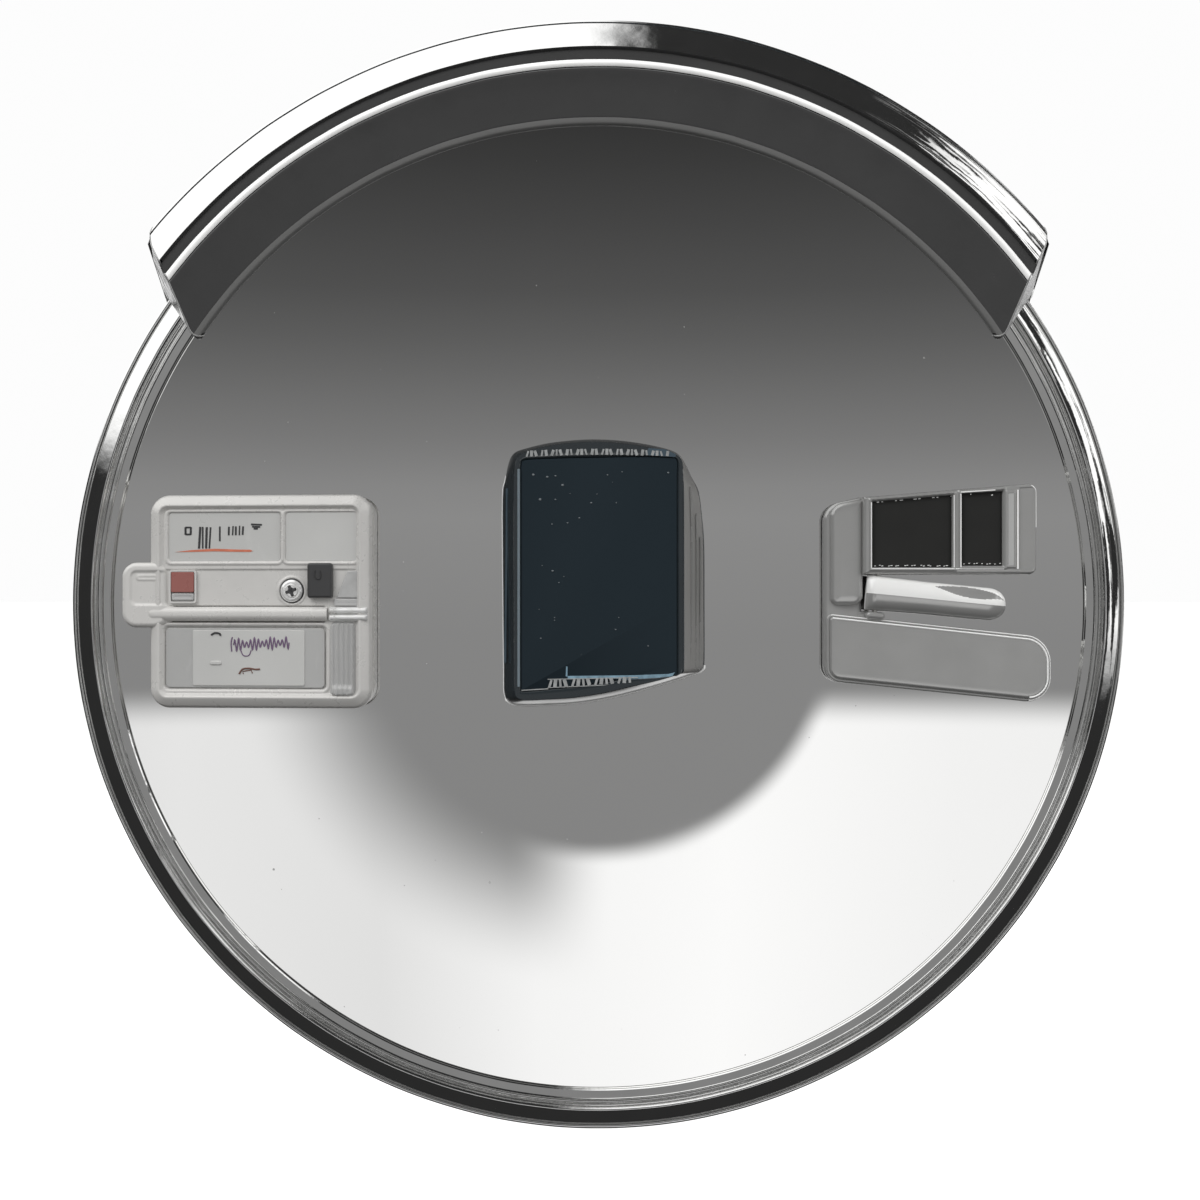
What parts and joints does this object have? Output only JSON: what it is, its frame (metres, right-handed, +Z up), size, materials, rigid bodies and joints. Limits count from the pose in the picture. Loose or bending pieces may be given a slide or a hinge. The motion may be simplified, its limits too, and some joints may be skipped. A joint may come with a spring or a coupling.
{
  "type": "traffic convex mirror",
  "caption": "Domed traffic mirror in a rolled chrome rim under a part-round hood, with three small face units, on a two-axis pole clamp bracket.",
  "frame": {"origin": "on the pole's axis, at mid height of the clamp", "axes": "+Z up along the pole, the mirror looks along -Y, +X to the viewer's right"},
  "size_m": [0.6503, 0.3278, 0.6668],
  "materials": {
    "galvanised": "hot-dip galvanised, matt grey",
    "zinc": "bright zinc plated",
    "mirror": "polished",
    "chrome": "polished, lightly rippled",
    "back": "moulded glass-fibre resin, matt grey",
    "bronze": "sintered bronze bush",
    "rubber": "black",
    "housing_grey": "satin grey",
    "housing_silver": "metallised silver",
    "label": null,
    "dark_plastic": "black",
    "display_glass": "dark tinted",
    "cell_glass": "black glazed cell",
    "clear": "clear ribbed",
    "red_lens": "red lens",
    "board": "circuit board"
  },
  "bodies": {
    "clamp": {"clamp_saddle": "galvanised", "clamp_strap": "galvanised", "clamp_bolts": "zinc", "clamp_nuts": "zinc", "pan_clevis": "galvanised", "pan_bolt": "zinc", "pan_nut": "zinc"},
    "swivel": {"swivel_block": "galvanised", "pan_bush": "bronze", "tilt_bolt": "zinc", "tilt_nut": "zinc"},
    "head": {"back_pan": "back", "bracket_bolts": "zinc", "bracket_nuts": "zinc", "centre_board": "board", "centre_display": "dark_plastic", "centre_glass": "display_glass", "centre_housing": "housing_grey", "centre_pad": "rubber", "centre_side_lip": "housing_silver", "centre_vent_strips": "label", "dome_gasket": "rubber", "edge_spacer": "rubber", "grip_pin": "zinc", "head_bracket": "galvanised", "hood_nuts": "zinc", "hood_screws": "zinc", "hood_shell": "chrome", "inner_plate": "galvanised", "latch_collar": "housing_silver", "left_blank_cover": "label", "left_board": "board", "left_cover": "housing_grey", "left_cover_screw": "zinc", "left_label_lower": "label", "left_label_upper": "label", "left_lens": "red_lens", "left_light_guide": "clear", "left_lower_frame": "housing_silver", "left_pad": "rubber", "left_ribbed_strip": "clear", "left_switch": "dark_plastic", "left_tray": "housing_grey", "mirror_dome": "mirror", "right_base": "housing_grey", "right_block": "housing_grey", "right_board": "board", "right_cell_frames": "housing_silver", "right_cells": "cell_glass", "right_light_strip": "housing_silver", "right_lower_plate": "housing_grey", "right_pad": "rubber", "rim_band": "chrome", "rim_joint_rivets": "zinc", "rim_joint_strap": "chrome", "tilt_bush": "bronze"},
    "button": {"button_cap": "dark_plastic"},
    "latch": {"latch_bar": "housing_silver"},
    "grip": {"grip_lever": "housing_silver"}
  },
  "joints": [
    {"name": "pan", "type": "hinge", "parent": "clamp", "child": "swivel", "pos_m": [0, -0.08, 0], "axis": [0, 0, 1], "range_deg": [-45, 45]},
    {"name": "tilt", "type": "hinge", "parent": "swivel", "child": "head", "pos_m": [0, -0.127, 0], "axis": [1, 0, 0], "range_deg": [-15, 15]},
    {"name": "button_press", "type": "slide", "parent": "head", "child": "button", "axis": [0.0922, 0.9957, 0], "range_m": [0, 0.002], "stiffness_N_per_m": 400, "springref_m": -0.003},
    {"name": "latch_slide", "type": "slide", "parent": "head", "child": "latch", "axis": [-0.9957, 0.0922, 0], "range_m": [0, 0.01]},
    {"name": "grip_swing", "type": "hinge", "parent": "head", "child": "grip", "pos_m": [0.168, -0.20926, 0.006], "axis": [-0.0954, -0.0088, -0.9954], "range_deg": [0, 70]}
  ]
}
